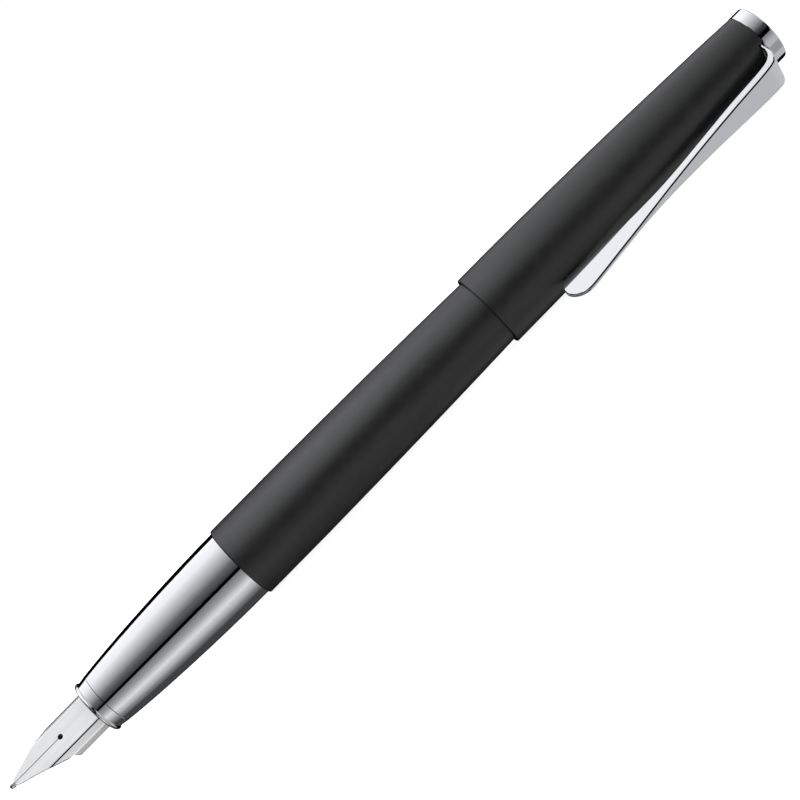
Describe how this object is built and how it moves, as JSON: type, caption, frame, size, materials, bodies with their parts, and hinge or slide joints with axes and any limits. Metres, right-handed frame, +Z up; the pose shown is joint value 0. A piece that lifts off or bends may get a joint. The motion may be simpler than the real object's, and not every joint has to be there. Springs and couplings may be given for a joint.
{
  "type": "fountain pen",
  "caption": "Matte black fountain pen with a tapered chrome grip, a folded steel nib, a propeller-shaped clip and its cap pushed on the back of the barrel, lying on its side.",
  "frame": {"origin": "on the pen's axis, where the barrel's straight stretch begins, 0.25 mm behind the barrel's mouth", "axes": "+X along the pen towards the cap's closed end, so the nib points along -X; +Z up, the pen lying on its side on a surface at z = -6.36 mm, touched by the barrel's mouth, the cap's lip and the clip's tip; the clip points towards -Y and down"},
  "size_m": [0.1576, 0.0158, 0.013],
  "materials": {
    "chrome": "polished chrome plating",
    "black_lacquer": "fine matte black lacquer on metal",
    "nib_steel": "bright polished stainless steel",
    "tipping_alloy": "ground hard alloy",
    "black_plastic": "moulded black plastic",
    "feed_plastic": "moulded black plastic, combed",
    "insert_metal": "machined",
    "spring_steel": "plain",
    "seal_rubber": "soft black rubber",
    "clear_plastic": "clear moulded plastic",
    "converter_plastic": "moulded",
    "knob_plastic": "moulded, ribbed",
    "converter_band": "satin metal band"
  },
  "bodies": {
    "grip": {"grip_shell": "chrome", "grip_front_ring": "chrome", "section_core": "black_plastic", "thread_o_ring": "seal_rubber"},
    "feed": {"feed": "feed_plastic"},
    "nib": {"nib": "nib_steel", "nib_tipping": "tipping_alloy"},
    "barrel": {"barrel_shell": "black_lacquer", "barrel_thread_insert": "insert_metal", "barrel_tail_plug": "chrome"},
    "cap": {"cap_shell": "black_lacquer", "cap_liner": "black_plastic", "finial": "chrome", "finial_nut": "spring_steel", "clip_spring": "spring_steel"},
    "clip": {"clip": "chrome"},
    "converter": {"converter_socket": "converter_plastic", "converter_tube": "clear_plastic", "converter_sleeve": "converter_band", "converter_bush": "converter_plastic"},
    "knob": {"converter_knob": "knob_plastic"},
    "piston": {"piston_rod": "converter_plastic", "piston_seal": "seal_rubber"}
  },
  "joints": [
    {"name": "barrel_draw", "type": "slide", "parent": "grip", "child": "barrel", "axis": [1, 0, 0], "range_m": [0, 0.065]},
    {"name": "cap_pull", "type": "slide", "parent": "barrel", "child": "cap", "axis": [1, 0, 0], "range_m": [0, 0.032]},
    {"name": "clip_flex", "type": "hinge", "parent": "cap", "child": "clip", "pos_m": [0.10752, -0.00383, -0.00254], "axis": [0, -0.553, 0.8332], "range_deg": [0, 3], "stiffness_Nm_per_rad": 1, "springref_deg": -2.86},
    {"name": "feed_pull", "type": "slide", "parent": "grip", "child": "feed", "axis": [-1, 0, 0], "range_m": [0, 0.024]},
    {"name": "nib_pull", "type": "slide", "parent": "feed", "child": "nib", "axis": [-1, 0, 0], "range_m": [0, 0.023]},
    {"name": "converter_pull", "type": "slide", "parent": "grip", "child": "converter", "axis": [1, 0, 0], "range_m": [0, 0.006]},
    {"name": "knob_turn", "type": "hinge", "parent": "converter", "child": "knob", "pos_m": [0.0515, 0, 0], "axis": [1, 0, 0], "range_deg": [0, 1801]},
    {"name": "piston_travel", "type": "slide", "parent": "converter", "child": "piston", "axis": [1, 0, 0], "range_m": [0, 0.02]}
  ],
  "couplings": [
    {"joint": "knob_turn", "follows": "piston_travel", "rad_per_m": 1570.8}
  ]
}
